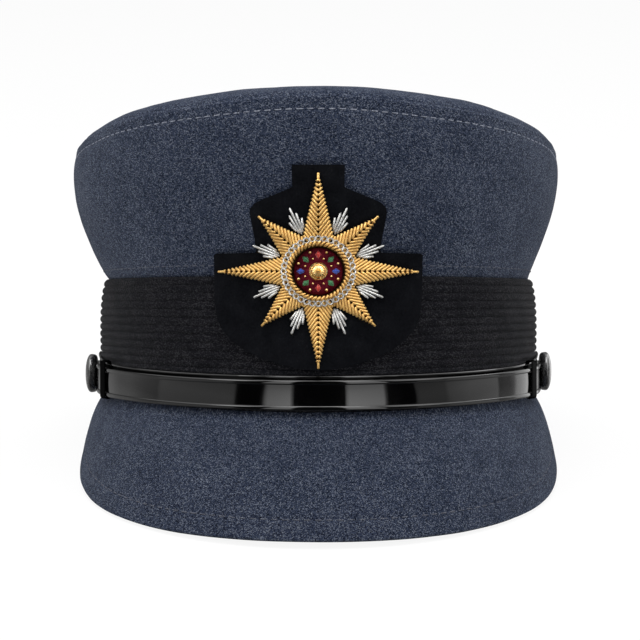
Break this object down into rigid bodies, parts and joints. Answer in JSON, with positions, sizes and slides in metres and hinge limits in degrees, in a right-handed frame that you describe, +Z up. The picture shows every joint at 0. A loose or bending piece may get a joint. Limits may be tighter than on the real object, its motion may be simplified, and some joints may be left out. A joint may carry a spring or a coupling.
{
  "type": "service dress hat",
  "caption": "Officer-style dress hat with a flared cloth crown, ribbed braid band, steep cloth peak, patent chin strap on side buttons and an embroidered star badge.",
  "frame": {"origin": "middle of the hat's footprint box, on the surface that it stands on", "axes": "+Z up, -Y out of the hat's front over the peak, +X to the right as seen from the front"},
  "size_m": [0.1886, 0.2536, 0.1527],
  "materials": {
    "cloth": "milled blue-grey melange wool",
    "braid": "ribbed black mohair braid",
    "lining": "smooth black lining cloth",
    "patent": "black patent, high gloss",
    "button": "black gloss",
    "felt": "dense black felt",
    "gold": "gold bullion wire",
    "silver": "silver bullion wire",
    "velvet": "maroon velvet",
    "satin_red": "red satin stitch",
    "satin_green": "green satin stitch",
    "satin_blue": "blue satin stitch"
  },
  "bodies": {
    "root": {"crown_side_front": "cloth", "crown_side_rear": "cloth", "crown_top": "cloth", "band": "braid", "peak": "cloth", "peak_underside": "lining", "chin_strap_inner": "patent", "chin_strap_outer": "patent", "strap_keeper_left": "patent", "strap_keeper_right": "patent", "button_left": "button", "button_right": "button", "badge_backing": "felt", "badge_star": "gold", "badge_velvet": "velvet", "badge_rope_ring": "gold", "badge_boss": "gold", "badge_silver_ray_1": "silver", "badge_silver_ray_2": "silver", "badge_silver_ray_3": "silver", "badge_silver_ray_4": "silver", "badge_silver_ray_5": "silver", "badge_silver_ray_6": "silver", "badge_silver_ray_7": "silver", "badge_silver_ray_8": "silver", "badge_stone_1": "satin_red", "badge_stone_2": "satin_green", "badge_stone_3": "satin_blue", "badge_stone_4": "satin_green", "badge_stone_5": "satin_red", "badge_stone_6": "satin_green", "badge_stone_7": "satin_blue", "badge_stone_8": "satin_green"}
  },
  "joints": []
}
